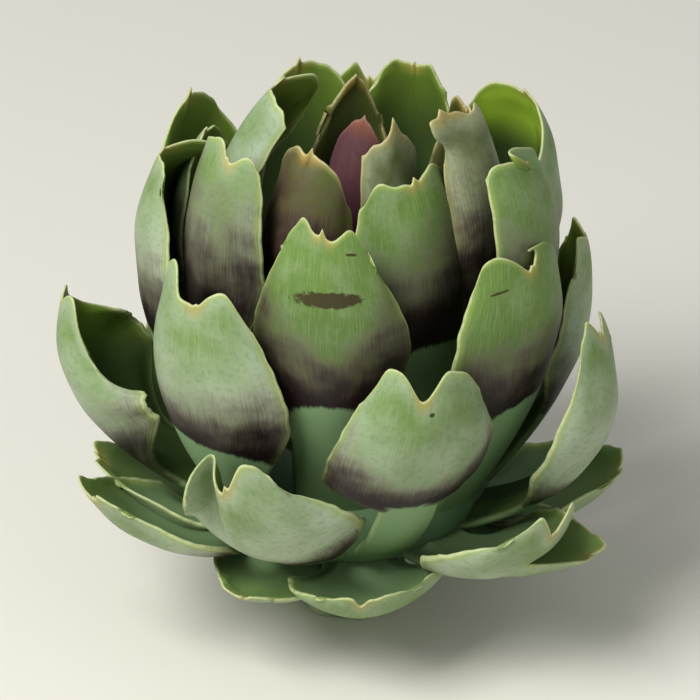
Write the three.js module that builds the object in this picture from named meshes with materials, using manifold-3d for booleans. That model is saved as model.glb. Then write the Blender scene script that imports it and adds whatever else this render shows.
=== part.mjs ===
// A globe artichoke head, as picked: a short cut stem, a fleshy receptacle with the green bracts that
// grow from it in a spiral, and the purple bud of young bracts at the heart.
// Millimetres, +Z up. The origin is the middle of the stem's cut face, and the front is -Y.
import * as THREE from 'three';
import { mergeVertices } from 'three/addons/utils/BufferGeometryUtils.js';
import Module from 'manifold-3d';

const wasm = await Module();
wasm.setup();

// The stem, cut short below the head.
const STEM_LENGTH = 20;
const STEM_RADIUS = 12;
const STEM_FLARE = 1.5;
const STEM_FLARE_START = 0.6 * STEM_LENGTH;
const STEM_RIBS = 7;
const STEM_RIB_DEPTH = 0.5;
const STEM_SIDES = 42;

// The head stands on the stem, which it clears by a hair.
const GAP = 0.3;
const HEAD_FOOT = STEM_LENGTH + GAP;
// The whole head leans a little towards +X: this far at the height of LEAN_HEIGHT above its foot.
const LEAN = 3.5;
const LEAN_HEIGHT = 100;

// Half sections of the receptacle and of the heart's core: radius, height above the head's foot.
const HEART_FOOT = 30;
const RECEPTACLE = [
  [0, 0], [13, 0], [23, 1.5], [29, 6], [31, 12],
  [30, 19], [24, 26], [14, HEART_FOOT], [0, HEART_FOOT],
];
const HEART_CORE = [[0, 0], [9, 0], [11, 4], [11, 12], [7, 34], [2, 48], [0, 48.5]];
const CORE_SIDES = 32;

// Bracts are numbered from the foot up. Each stands a golden angle round from the one below it.
const GOLDEN_ANGLE = -137.5077;
const FRONT_BRACT = 26;
const FRONT_ANGLE = -6;
const GREEN_BRACTS = 37;
const ALL_BRACTS = 45;

// The form of a bract by its number, with the stages between found by mixing. root, belly and tip
// steer the midrib as it stands out from the head's axis: radius, height above the head's foot.
// cup is the half angle, in radians, that the blade wraps round its own midrib, and blade is the
// share of its length where the neck has widened to the full blade.
const STAGES = [
  { number: 0, root: [12, 4], belly: [36, -7], tip: [50, 2], width: 32, cup: 0.75, blade: 0.42 },
  { number: 5, root: [15, 4], belly: [42, -6], tip: [57, 7], width: 36, cup: 0.8, blade: 0.42 },
  { number: 10, root: [20, 3], belly: [58, 0], tip: [66, 29], width: 37, cup: 0.85, blade: 0.42 },
  { number: 13, root: [22, 3], belly: [60, 5], tip: [58, 42], width: 38, cup: 0.9, blade: 0.42 },
  { number: 16, root: [25, 3], belly: [72, 15], tip: [62, 62], width: 40, cup: 0.95, blade: 0.5 },
  { number: 18, root: [26, 4], belly: [67, 36], tip: [50, 66], width: 42, cup: 0.95, blade: 0.62 },
  { number: 21, root: [27, 7], belly: [62, 45], tip: [48, 82], width: 43, cup: 0.95, blade: 0.53 },
  { number: 24, root: [28, 10], belly: [57, 63], tip: [43, 91], width: 42, cup: 0.95, blade: 0.6 },
  { number: 27, root: [26, 13], belly: [52, 68], tip: [36, 96], width: 39, cup: 0.95, blade: 0.6 },
  { number: 31, root: [23, 18], belly: [40, 70], tip: [28, 100], width: 34, cup: 1, blade: 0.6 },
  { number: 36, root: [19, 23], belly: [32, 72], tip: [20, 103], width: 29, cup: 1.05, blade: 0.6 },
  { number: 37, root: [9, 33], belly: [23, 60], tip: [9, 89], width: 27, cup: 1.2, blade: 0.5 },
  { number: 44, root: [4, 38], belly: [8, 64], tip: [1, 86], width: 13, cup: 1.3, blade: 0.5 },
];

// What a bract has where OWN_FORMS says nothing else. turn is in degrees about the head's axis and
// sweep carries the tip sideways. left and right widen one side alone, cup wraps the blade further
// round, and neck is the share of the width that the neck keeps, up to its waist, which is a share of
// the way up to where the blade is full. notch and shoulder are how far the middle and the corners of
// the top edge are cut back, as shares of the length; top is the share of the width that is left at
// the tip, kept up for longer where full is larger. crown is a top edge of its own: places across the
// blade, from -1 to 1, each with its cut below the tip. hook pulls the lobe at a place across to the
// left, by its amount. folds are places across, with how wide each one is, how far it goes in, and
// the share of the length where it starts.
const COMMON_FORM = {
  turn: 0, sweep: 0, wide: 1, left: 1, right: 1, cup: 1, neck: 0.45, waist: 0.4,
  notch: 0.08, shoulder: 0.14, top: 0.55, full: 1.35, hook: [0, 0], folds: [],
};
const OWN_FORMS = {
  0: { turn: 1, left: 0.95, right: 0.75, notch: 0.06, belly: [0, -1], tip: [-2, 3] },
  2: { turn: 6, left: 1.15, belly: [1, -1], tip: [10, 5] },
  3: { notch: 0.05, tip: [3, 15] },
  5: {
    turn: 2, left: 0.95, right: 1.25, top: 0.6, belly: [1, -4], tip: [-6, 3],
    crown: [
      [-1, 8], [-0.75, 4], [-0.45, 1], [-0.2, 1], [-0.08, 5.5], [0.02, 1], [0.4, 0], [0.75, 3],
      [1, 9],
    ],
  },
  8: { turn: -10, tip: [3, 6] },
  10: {
    turn: 9, left: 1.15, tip: [-1, 0],
    crown: [
      [-1, 12], [-0.6, 2], [-0.42, -1], [-0.2, 4], [0, 8], [0.2, 3], [0.4, -1], [0.6, 2], [1, 12],
    ],
  },
  11: { turn: -22, belly: [-4, 0], tip: [-5, -2] },
  12: { turn: 14 },
  13: {
    turn: -6, sweep: -5, wide: 1.1, left: 0.68, right: 1.22, belly: [-3, 6],
    folds: [[-0.55, 0.2, 6, 0.45], [-1, 0.3, -5, 0.6]],
    crown: [
      [-1, 9], [-0.8, 2.5], [-0.62, 1], [-0.45, 1.5], [-0.2, 5.5], [0.05, 6.5], [0.22, 2],
      [0.4, -2], [0.6, -1], [0.8, 3], [1, 8],
    ],
  },
  15: { wide: 0.85, belly: [7, 12], tip: [-6, 8] },
  16: {
    turn: -21, wide: 1.08, left: 1.15, right: 1.35, cup: 1.12, top: 0.75, belly: [0, 10], tip: [1, -5],
    crown: [
      [-1, 21], [-0.7, 14], [-0.45, 9], [-0.28, 6], [-0.15, 0.5], [0, 6], [0.14, 2], [0.28, -1.5],
      [0.42, 0], [0.52, 5], [0.66, 13], [0.84, 24], [1, 32],
    ],
  },
  17: { turn: 26, belly: [-3, 14], tip: [0, 20] },
  18: {
    turn: -1, sweep: 3, left: 0.95, right: 1.15, blade: 0.48, neck: 0.28, waist: 0.9, top: 0.68,
    crown: [
      [-1, 10], [-0.75, 4.2], [-0.6, 0.3], [-0.4, 0.5], [0, 10.5], [0.3, 2.8], [0.5, 2.6],
      [0.72, 4.6], [1, 10],
    ],
  },
  19: {
    turn: -11, belly: [-2, 8], tip: [3, 14],
    crown: [[-1, 12], [-0.6, 4], [-0.2, 0], [0.1, 0], [0.4, 3], [0.7, 8], [1, 16]],
  },
  20: { turn: -7, wide: 0.85, belly: [-3, 0], tip: [-1, -4] },
  21: {
    turn: -4, sweep: -3, left: 1.12, right: 1.04, top: 0.64,
    crown: [
      [-1, 11], [-0.75, 4], [-0.5, 2], [-0.38, 3.2], [-0.27, 9.5], [0, 9.8], [0.12, 10.2],
      [0.32, 7], [0.5, 4], [0.75, 8], [1, 14],
    ],
  },
  22: {
    turn: 12, belly: [-5, 4], tip: [0, 5],
    crown: [[-1, 11], [-0.75, 6], [-0.5, 3], [-0.2, 1.5], [0.12, 1], [0.4, 3], [0.75, 7], [1, 14]],
  },
  23: {
    turn: 10, sweep: -3, wide: 1.05, left: 1.04, right: 1.1, top: 0.65, tip: [0, -3], hook: [0.3, 11],
    crown: [
      [-1, 7], [-0.88, 1], [-0.72, 0.4], [-0.55, 2], [-0.4, 5], [-0.28, 8.5], [-0.18, 10],
      [-0.08, 8.5], [0.02, 5], [0.12, 3.2], [0.3, 3], [0.6, 6], [0.8, 9], [1, 14],
    ],
  },
  24: {
    turn: -4, belly: [1, 0], folds: [[-0.6, 0.35, 10, 0.7]],
    crown: [
      [-1, 8], [-0.8, -1], [-0.6, -5], [-0.4, -4], [-0.2, 0], [0, 3.5], [0.2, 3], [0.4, 2.5],
      [0.6, 2], [0.85, 3.5], [1, 10],
    ],
  },
  25: {
    turn: -6, wide: 0.97, left: 1.25, cup: 1.12, top: 0.75, belly: [8, 0], tip: [2, 0],
    crown: [
      [-1, 14], [-0.6, 6], [-0.3, 3], [0, 2.5], [0.12, 2], [0.4, -1], [0.65, -1], [0.85, 1.5],
      [1, 6],
    ],
  },
  26: {
    sweep: -4, right: 0.94, top: 0.57,
    crown: [
      [-1, 12], [-0.75, 4], [-0.42, -1.3], [-0.24, 4], [-0.1, 4.4], [0.12, 6.4], [0.3, 3.5],
      [0.45, 2.2], [0.62, 4], [0.8, 8], [1, 16],
    ],
  },
  27: {
    turn: 24, belly: [0, -6], tip: [3, -10],
    crown: [[-1, 14], [-0.6, 4], [-0.3, 0.5], [0, 1], [0.3, -3], [0.5, -4], [0.7, -1], [1, 8]],
  },
  28: {
    turn: -14, sweep: -4, wide: 1.08, left: 0.8, top: 0.7, belly: [8, 0], tip: [5, 3], hook: [0.35, 8],
    crown: [
      [-1, -1], [-0.88, -4], [-0.5, -2.5], [-0.2, 0], [0, 1.5], [0.15, -1], [0.3, -4.5],
      [0.45, -4.5], [0.7, 1], [1, 12],
    ],
  },
  29: {
    turn: -5, sweep: -3, wide: 1.04, top: 0.66, belly: [1, 0], tip: [2, 2],
    crown: [
      [-1, 12], [-0.6, 3], [-0.2, 0.5], [0.04, -1.2], [0.28, -0.8], [0.36, 2.5], [0.44, 4],
      [0.54, 3], [0.68, 0], [0.82, -1], [0.94, 1], [1, 4],
    ],
  },
  30: { turn: -4, notch: 0.05 },
  31: {
    turn: 3, sweep: -6, wide: 1.12, left: 0.93, right: 1.32, top: 0.64,
    crown: [
      [-1, 9], [-0.75, 3.5], [-0.55, 0.8], [-0.4, 2.8], [-0.1, 3.4], [0.1, 3.6], [0.3, 1.2],
      [0.5, -0.6], [0.75, 2.5], [1, 11],
    ],
  },
  32: {
    turn: 10, sweep: -7, right: 0.88, cup: 1.2, top: 0.85, belly: [8, 0], tip: [-5, 2],
    folds: [[-0.6, 0.4, 5, 0.7]],
    crown: [
      [-1, 8], [-0.75, 0], [-0.5, -4], [-0.3, -2], [-0.1, 1.5], [0.05, 2.5], [0.3, 1.5], [0.6, 1],
      [0.85, 1], [1, 3],
    ],
  },
  33: { turn: 7, wide: 0.85, tip: [-1, -3] },
  34: {
    turn: -5, wide: 0.9, left: 1.2, top: 0.8,
    crown: [
      [-1, 15], [-0.75, 6.5], [-0.5, 2.2], [-0.25, 0.2], [-0.05, 2], [0.1, 1.4], [0.3, 2.5],
      [0.5, 4], [0.75, 8], [1, 16],
    ],
  },
  35: {
    turn: -10, wide: 0.9, tip: [-2, -3.5],
    crown: [[-1, 17], [-0.6, 8.5], [-0.25, 2.5], [0, 0], [0.2, 2.5], [0.5, 8], [1, 20]],
  },
  36: {
    turn: 10, sweep: -5, wide: 1.25, left: 0.82, cup: 1.1, top: 0.75, belly: [13, 0], tip: [4.5, 6],
    hook: [-0.7, 5],
    crown: [
      [-1, 11], [-0.9, 5], [-0.75, -2.5], [-0.6, -3.5], [-0.4, -1.5], [-0.2, 1.5], [0, 2],
      [0.2, 1], [0.4, 3], [0.7, 7], [1, 16],
    ],
  },
  39: {
    turn: 42, sweep: 1.5, wide: 1.3, left: 0.75, top: 0.8, full: 2, tip: [2.5, 10],
    crown: [
      [-1, 3], [-0.8, 1.5], [-0.55, 1], [-0.4, 0], [-0.25, -2.5], [-0.1, -0.5], [0.1, 1.5],
      [0.4, 5], [0.7, 9], [1, 15],
    ],
  },
  42: {
    turn: 14, wide: 1.7, top: 0.8, full: 2, tip: [0, 13],
    crown: [[-1, 16], [-0.5, 6], [-0.15, 1], [0.1, 0], [0.3, 1], [0.6, 6], [1, 18]],
  },
};

// The blade: narrow at its fleshy neck, widest above that, thick at the root and thin at the rim.
// The cuts of its top edge fade out towards the root, and so do its hook and its folds.
const FALL_START = 0.6;
const BLADE_THICKNESS = 1;
const ROOT_THICKNESS = 5;
const HEART_ROOT_THICKNESS = 1.5;
const FLESH_FADE = 1.5;
const EDGE_THINNING = 0.4;
const TOP_EDGE_FADE = 1.5;
// The top edge of a bract without a crown of its own: a cut corner, a shoulder, a lobe on each side.
const SHOULDER_PLACE = 0.75;
const SHOULDER_SHARE = 0.45;
const LOBE_PLACE = 0.45;
const LOBE_CUT = 0.7;
const HOOK_HEIGHT = 9;
const HOOK_SPREAD = 0.45;
const FOLD_RISE = 0.35;
const TIP_CURL = 0.25;
const CURL_START = 0.6;

// How finely each bract is divided: where its columns stand across it, at the corners, the lobes and
// the notch, and how many steps run along it. SAME_VERTEX is how close two vertices are merged.
const GREEN_GRID = { columns: [-1, -0.72, -0.45, 0.05, 0.45, 0.72, 1], along: 7 };
const HEART_GRID = { columns: [-1, -0.5, 0, 0.5, 1], along: 6 };
const SAME_VERTEX = 1e-4;

const MATERIALS = {
  stem: new THREE.MeshStandardMaterial({ color: 0xa3b57c, roughness: 0.65, metalness: 0 }),
  green: new THREE.MeshStandardMaterial({ color: 0x87a067, roughness: 0.55, metalness: 0 }),
  heart: new THREE.MeshStandardMaterial({ color: 0x7a5764, roughness: 0.55, metalness: 0 }),
};

const { degToRad, lerp, smoothstep } = THREE.MathUtils;

/** The numbers of one bract: its stage on the spiral, with its own form laid over it. */
function bractForm(number) {
  const upper = STAGES.findIndex((stage) => stage.number >= number);
  const after = STAGES[upper];
  const before = STAGES[Math.max(upper - 1, 0)];
  const share = (number - before.number) / Math.max(after.number - before.number, 1);
  const own = { ...COMMON_FORM, ...OWN_FORMS[number] };
  const point = (name) => {
    const shift = OWN_FORMS[number]?.[name] ?? [0, 0];
    const radius = lerp(before[name][0], after[name][0], share) + shift[0];
    const height = lerp(before[name][1], after[name][1], share) + shift[1];
    return new THREE.Vector2(radius, height);
  };
  const [root, belly, tip] = ['root', 'belly', 'tip'].map(point);
  const length = (root.distanceTo(belly) + belly.distanceTo(tip) + tip.distanceTo(root)) / 2;
  const corner = own.shoulder * length;
  const shoulder = SHOULDER_SHARE * corner;
  return {
    ...own,
    length,
    crown: own.crown ?? [
      [-1, corner], [-SHOULDER_PLACE, shoulder], [-LOBE_PLACE, LOBE_CUT], [0, own.notch * length],
      [LOBE_PLACE, LOBE_CUT], [SHOULDER_PLACE, shoulder], [1, corner],
    ],
    angle: degToRad(FRONT_ANGLE + GOLDEN_ANGLE * (number - FRONT_BRACT) + own.turn),
    midrib: new THREE.QuadraticBezierCurve(root, belly, tip),
    width: lerp(before.width, after.width, share) * own.wide,
    cup: lerp(before.cup, after.cup, share) * own.cup,
    blade: own.blade ?? lerp(before.blade, after.blade, share),
    flesh: number < GREEN_BRACTS ? ROOT_THICKNESS : HEART_ROOT_THICKNESS,
  };
}

/** Half the bract's width at a share of its length. */
function halfWidth(form, along) {
  const neck = lerp(form.neck, 1, smoothstep(along, form.waist * form.blade, form.blade));
  const fall = Math.max((along - FALL_START) / (1 - FALL_START), 0) ** form.full;
  return 0.5 * form.width * neck * (1 - (1 - form.top) * fall);
}

/** How far below the tip the top edge stands at a place across the blade. */
function crownCut(crown, across) {
  const next = Math.max(crown.findIndex(([place]) => place >= across), 1);
  const [[lowPlace, lowCut], [highPlace, highCut]] = [crown[next - 1], crown[next]];
  return lerp(lowCut, highCut, (across - lowPlace) / (highPlace - lowPlace));
}

/** A point of a bract: across runs from -1 to 1, along from 0 to 1, on the outer or the inner face. */
function bractPoint(form, across, along, inner) {
  const share = along * (1 - (crownCut(form.crown, across) / form.length) * along ** TOP_EDGE_FADE);
  const spine = form.midrib.getPoint(share);
  const tangent = form.midrib.getTangent(share);

  const radius = (0.5 * form.width) / form.cup;
  const curl = 1 + TIP_CURL * smoothstep(along, CURL_START, 1);
  const ownSide = across < 0 ? form.left : form.right;
  const wrap = ((across * ownSide * halfWidth(form, along)) / radius) * curl;
  const [hookPlace, pull] = form.hook;
  const hooked = smoothstep(share * form.length, form.length - HOOK_HEIGHT, form.length) ** 2
    * smoothstep(HOOK_SPREAD - Math.abs(across - hookPlace), 0, HOOK_SPREAD);
  const side = (radius * Math.sin(wrap)) / curl + form.sweep * share ** 2 - pull * hooked;
  let folded = 0;
  for (const [place, spread, deep, start] of form.folds) {
    const risen = smoothstep(along, start, start + FOLD_RISE);
    folded += deep * risen * Math.exp(-(((across - place) / spread) ** 2));
  }
  const flesh = BLADE_THICKNESS + form.flesh * Math.max(1 - share, 0) ** FLESH_FADE;
  const depth = radius * (1 - Math.cos(wrap)) + folded
    + (inner ? flesh * (1 - EDGE_THINNING * across ** 2) : 0);

  const out = spine.x - depth * tangent.y;
  const up = spine.y + depth * tangent.x;
  const lean = LEAN * (up / LEAN_HEIGHT) ** 2;
  return [
    Math.sin(form.angle) * out + Math.cos(form.angle) * side + lean,
    -Math.cos(form.angle) * out + Math.sin(form.angle) * side,
    up + HEAD_FOOT,
  ];
}

/** One bract as a closed shell: both faces split alike into triangles, with a rim all round. */
function bractGeometry(form, grid) {
  const positions = [];
  for (const inner of [false, true]) {
    for (let row = 0; row <= grid.along; row += 1) {
      for (const across of grid.columns) {
        positions.push(...bractPoint(form, across, row / grid.along, inner));
      }
    }
  }
  const wide = grid.columns.length;
  const cells = wide - 1;
  const innerStart = wide * (grid.along + 1);
  const index = [];
  const quad = (a, b, c, d, flip) => (flip ? index.push(a, b, d, b, c, d) : index.push(a, b, c, a, c, d));
  for (let row = 0; row < grid.along; row += 1) {
    for (let column = 0; column < cells; column += 1) {
      const a = row * wide + column;
      const [b, c, d] = [a + 1, a + wide + 1, a + wide];
      const flip = column >= cells / 2;
      quad(a, b, c, d, flip);
      quad(innerStart + b, innerStart + a, innerStart + d, innerStart + c, !flip);
    }
  }
  const steps = (count) => Array.from({ length: count }, (_, step) => step);
  const rim = [
    ...steps(cells),
    ...steps(grid.along).map((row) => row * wide + cells),
    ...steps(cells).map((column) => grid.along * wide + cells - column),
    ...steps(grid.along).map((row) => (grid.along - row) * wide),
  ];
  rim.forEach((from, step) => {
    const to = rim[(step + 1) % rim.length];
    quad(from, innerStart + from, innerStart + to, to, false);
  });
  const geometry = new THREE.BufferGeometry();
  geometry.setAttribute('position', new THREE.Float32BufferAttribute(positions, 3));
  geometry.setIndex(index);
  return geometry;
}

/** A round core turned about the head's axis, leaning with the head. */
function coreGeometry(halfSection, foot) {
  const points = halfSection.map(([radius, height]) => new THREE.Vector2(radius, height + foot));
  const geometry = new THREE.LatheGeometry(points, CORE_SIDES).rotateX(Math.PI / 2);
  const position = geometry.attributes.position;
  for (let i = 0; i < position.count; i += 1) {
    position.setX(i, position.getX(i) + LEAN * (position.getZ(i) / LEAN_HEIGHT) ** 2);
  }
  return geometry.translate(0, 0, HEAD_FOOT);
}

/** A closed geometry as a solid that can be joined to others. */
function solid(geometry) {
  geometry.deleteAttribute('normal');
  geometry.deleteAttribute('uv');
  const merged = mergeVertices(geometry, SAME_VERTEX);
  return new wasm.Manifold(new wasm.Mesh({
    numProp: 3,
    vertProperties: new Float32Array(merged.attributes.position.array),
    triVerts: new Uint32Array(merged.index.array),
  }));
}

/** A joined solid as a geometry again, without loose scraps or sealed hollows. */
function geometryOf(joined) {
  const largest = joined.decompose().sort((one, other) => other.volume() - one.volume())[0];
  const mesh = largest.getMesh();
  const geometry = new THREE.BufferGeometry();
  geometry.setAttribute('position', new THREE.BufferAttribute(mesh.vertProperties, 3));
  geometry.setIndex(new THREE.BufferAttribute(mesh.triVerts, 1));
  return geometry;
}

/** Bracts from one number up to another, grown together with the core that they spring from. */
function bractHead(from, to, grid, halfSection, foot) {
  let joined = solid(coreGeometry(halfSection, foot));
  for (let number = from; number < to; number += 1) {
    joined = joined.add(solid(bractGeometry(bractForm(number), grid)));
  }
  return geometryOf(joined);
}

/** The cut stem: a stout ribbed stub, flat at the cut and flaring into the head. */
function stemGeometry() {
  const profile = [
    new THREE.Vector2(0, 0),
    new THREE.Vector2(STEM_RADIUS, 0),
    new THREE.Vector2(STEM_RADIUS, STEM_FLARE_START),
    new THREE.Vector2(STEM_RADIUS + STEM_FLARE, STEM_LENGTH),
    new THREE.Vector2(0, STEM_LENGTH),
  ];
  const geometry = new THREE.LatheGeometry(profile, STEM_SIDES).rotateX(Math.PI / 2);
  const position = geometry.attributes.position;
  for (let i = 0; i < position.count; i += 1) {
    const turn = Math.atan2(position.getY(i), position.getX(i));
    const rib = 1 - (STEM_RIB_DEPTH / STEM_RADIUS) * (1 + Math.cos(STEM_RIBS * turn));
    position.setX(i, position.getX(i) * rib);
    position.setY(i, position.getY(i) * rib);
  }
  geometry.deleteAttribute('normal');
  geometry.deleteAttribute('uv');
  return mergeVertices(geometry, SAME_VERTEX);
}

/** A named piece in its material. */
function piece(name, geometry, material) {
  const mesh = new THREE.Mesh(geometry, material);
  mesh.name = name;
  return mesh;
}

const greenHead = bractHead(0, GREEN_BRACTS, GREEN_GRID, RECEPTACLE, 0);
const heartBud = bractHead(GREEN_BRACTS, ALL_BRACTS, HEART_GRID, HEART_CORE, HEART_FOOT + GAP);

const group = new THREE.Group();
group.add(
  piece('stem', stemGeometry(), MATERIALS.stem),
  piece('green_bracts', greenHead, MATERIALS.green),
  piece('heart_bracts', heartBud, MATERIALS.heart),
);

export default group;
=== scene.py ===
"""A fresh globe artichoke head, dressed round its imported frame. Metres, +Z up, front -Y."""
import random
from math import atan2, cos, pi, radians, sin, tau

import bmesh
import bpy
import numpy as np
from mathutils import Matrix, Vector


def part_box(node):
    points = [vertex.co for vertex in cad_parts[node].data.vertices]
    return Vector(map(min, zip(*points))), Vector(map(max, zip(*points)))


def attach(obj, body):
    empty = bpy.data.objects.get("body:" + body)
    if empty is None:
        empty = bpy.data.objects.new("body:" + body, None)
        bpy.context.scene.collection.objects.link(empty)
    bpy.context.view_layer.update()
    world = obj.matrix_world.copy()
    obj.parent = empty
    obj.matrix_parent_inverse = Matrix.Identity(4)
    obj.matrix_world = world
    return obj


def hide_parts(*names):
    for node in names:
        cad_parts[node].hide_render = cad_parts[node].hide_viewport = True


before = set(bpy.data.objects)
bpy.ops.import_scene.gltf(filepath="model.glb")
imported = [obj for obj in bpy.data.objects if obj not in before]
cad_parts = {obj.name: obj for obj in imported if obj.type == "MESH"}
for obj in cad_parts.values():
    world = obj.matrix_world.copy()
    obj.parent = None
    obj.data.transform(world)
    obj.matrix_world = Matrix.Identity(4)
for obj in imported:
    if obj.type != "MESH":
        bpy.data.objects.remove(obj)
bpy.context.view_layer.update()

# ---------------------------------------------------------------------------------------------
# The cut stem. A stout flower stalk, cut square just under the head with a knife: a green ribbed
# skin, with soft down on it, round a pale pith that is dotted with the ends of its fibres.

MM = 0.001
STEM_RADIUS = 12 * MM
STEM_FLARE = 1.5 * MM
STEM_RIBS = 7
STEM_RIB_DEPTH = 0.5 * MM
STEM_SIDES = 168
INSET_WIDTH = 1 * MM
ON_THE_CUT = 0.001 * MM       # a face whose middle is lower than this is part of the cut
STEM_SINK = 1.5 * MM          # how far the top runs up into the head
CUT_EDGE = 0.5 * MM           # the small round left where the knife broke through the skin
MIX_BELOW, MIX_ABOVE, MIX_OUT = 6, 7, 2   # a colour Mix node's sockets, whose names are shared


def linear(hex_colour):
    """An sRGB hex colour as the linear colour, with alpha, that a shader takes."""
    channels = [int(hex_colour[i:i + 2], 16) / 255 for i in (1, 3, 5)]
    low = [c / 12.92 if c <= 0.04045 else ((c + 0.055) / 1.055) ** 2.4 for c in channels]
    return (*low, 1)


def add_node(tree, kind, inputs=None, **settings):
    """Adds a node with its settings. An input is a number or colour, or a socket to link from."""
    node = tree.nodes.new(kind)
    for name, value in settings.items():
        setattr(node, name, value)
    for socket, value in (inputs or {}).items():
        if isinstance(value, bpy.types.NodeSocket):
            tree.links.new(value, node.inputs[socket])
        else:
            node.inputs[socket].default_value = value
    return node


def finish_piece(name, mesh, materials, node):
    """Makes a smooth mesh into a piece that rides on the head and stands for a CAD node."""
    piece = bpy.data.objects.new(name, mesh)
    bpy.context.scene.collection.objects.link(piece)
    for material in materials:
        mesh.materials.append(material)
    for face in mesh.polygons:
        face.use_smooth = True
    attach(piece, "root")
    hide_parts(node)


def stem_skin():
    """Living stalk skin: matt, pale green on the ribs and darker in the furrows between them."""
    material = bpy.data.materials.new("downy_stalk_skin")
    material.use_nodes = True
    tree = material.node_tree
    place = add_node(tree, "ShaderNodeTexCoord").outputs["Object"]
    # Fibres about 0.6 mm wide that run up the stalk.
    fibre_place = add_node(tree, "ShaderNodeMapping", {"Vector": place, "Scale": (1600, 1600, 90)})
    fibres = add_node(tree, "ShaderNodeTexNoise", {
        "Vector": fibre_place.outputs[0], "Scale": 1, "Detail": 3})
    # Patches of bloom about 6 mm across.
    patches = add_node(tree, "ShaderNodeTexNoise", {"Vector": place, "Scale": 160, "Detail": 2})
    furrow = add_node(tree, "ShaderNodeAttribute", attribute_name="furrow")
    skin = add_node(tree, "ShaderNodeMix", {
        0: fibres.outputs["Fac"], MIX_BELOW: linear("#7F9A5A"), MIX_ABOVE: linear("#A9BC86")},
        data_type="RGBA")
    bloom = add_node(tree, "ShaderNodeMix", {
        0: patches.outputs["Fac"], MIX_BELOW: skin.outputs[MIX_OUT], MIX_ABOVE: linear("#B4C29C")},
        data_type="RGBA")
    dark = add_node(tree, "ShaderNodeMix", {
        0: furrow.outputs["Fac"], MIX_BELOW: bloom.outputs[MIX_OUT], MIX_ABOVE: linear("#5E7A41")},
        data_type="RGBA")
    bump = add_node(tree, "ShaderNodeBump", {
        "Height": fibres.outputs["Fac"], "Strength": 0.5, "Distance": 0.3 * MM})
    shader = tree.nodes["Principled BSDF"]
    tree.links.new(dark.outputs[MIX_OUT], shader.inputs["Base Color"])
    tree.links.new(bump.outputs[0], shader.inputs["Normal"])
    shader.inputs["Roughness"].default_value = 0.62
    return material


def stem_pith():
    """The cut face: moist pale pith with fibre ends 1.5 mm apart, browning from the rim inwards."""
    material = bpy.data.materials.new("cut_stalk_pith")
    material.use_nodes = True
    tree = material.node_tree
    place = add_node(tree, "ShaderNodeTexCoord").outputs["Object"]
    cells = add_node(tree, "ShaderNodeTexVoronoi", {"Vector": place, "Scale": 650})
    ends = add_node(tree, "ShaderNodeMapRange", {
        "Value": cells.outputs["Distance"], "From Min": 0.12, "From Max": 0.3, "To Min": 1, "To Max": 0})
    stains = add_node(tree, "ShaderNodeTexNoise", {"Vector": place, "Scale": 220, "Detail": 4})
    centred = add_node(tree, "ShaderNodeVectorMath", {0: place, 1: (1, 1, 0)}, operation="MULTIPLY")
    middle = add_node(tree, "ShaderNodeVectorMath", {0: centred.outputs[0]}, operation="LENGTH")
    rim = add_node(tree, "ShaderNodeMapRange", {
        "Value": middle.outputs["Value"], "From Min": 7.5 * MM, "From Max": 11.2 * MM,
        "To Min": 0, "To Max": 1})
    browned = add_node(tree, "ShaderNodeMath", {
        0: rim.outputs[0], 1: stains.outputs["Fac"]}, operation="MULTIPLY")
    pith = add_node(tree, "ShaderNodeMix", {
        0: ends.outputs[0], MIX_BELOW: linear("#DDE0BE"), MIX_ABOVE: linear("#A8AA7C")}, data_type="RGBA")
    brown = add_node(tree, "ShaderNodeMix", {
        0: browned.outputs[0], MIX_BELOW: pith.outputs[MIX_OUT], MIX_ABOVE: linear("#8A7148")},
        data_type="RGBA")
    bump = add_node(tree, "ShaderNodeBump", {
        "Height": ends.outputs[0], "Strength": 0.6, "Distance": 0.3 * MM})
    shader = tree.nodes["Principled BSDF"]
    tree.links.new(brown.outputs[MIX_OUT], shader.inputs["Base Color"])
    tree.links.new(bump.outputs[0], shader.inputs["Normal"])
    shader.inputs["Roughness"].default_value = 0.5
    return material


stem_low, stem_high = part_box("stem")
stem_length = stem_high.z - stem_low.z
# Height and radius of the rings that the wall of the stalk is drawn up through.
stem_rings = [
    (0.15 * CUT_EDGE, STEM_RADIUS - 0.5 * CUT_EDGE),
    (0.5 * CUT_EDGE, STEM_RADIUS - 0.15 * CUT_EDGE),
    (CUT_EDGE, STEM_RADIUS),
    (0.3 * stem_length, STEM_RADIUS),
    (0.6 * stem_length, STEM_RADIUS),
    (0.75 * stem_length, STEM_RADIUS + 0.2 * STEM_FLARE),
    (0.9 * stem_length, STEM_RADIUS + 0.6 * STEM_FLARE),
    (stem_length, STEM_RADIUS + STEM_FLARE),
    (stem_length + STEM_SINK, STEM_RADIUS + STEM_FLARE),
]
bm = bmesh.new()
bmesh.ops.create_circle(bm, cap_ends=True, segments=STEM_SIDES, radius=STEM_RADIUS - CUT_EDGE)
rim_edges = bm.edges[:]
for height, radius in stem_rings:
    drawn = bmesh.ops.extrude_edge_only(bm, edges=rim_edges)["geom"]
    ring = [v for v in drawn if isinstance(v, bmesh.types.BMVert)]
    rim_edges = [e for e in drawn if isinstance(e, bmesh.types.BMEdge) and all(v in ring for v in e.verts)]
    for vert in ring:
        flat = Vector((vert.co.x, vert.co.y, 0)).normalized()
        vert.co = flat * radius + Vector((0, 0, height))
bmesh.ops.contextual_create(bm, geom=rim_edges)
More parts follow.
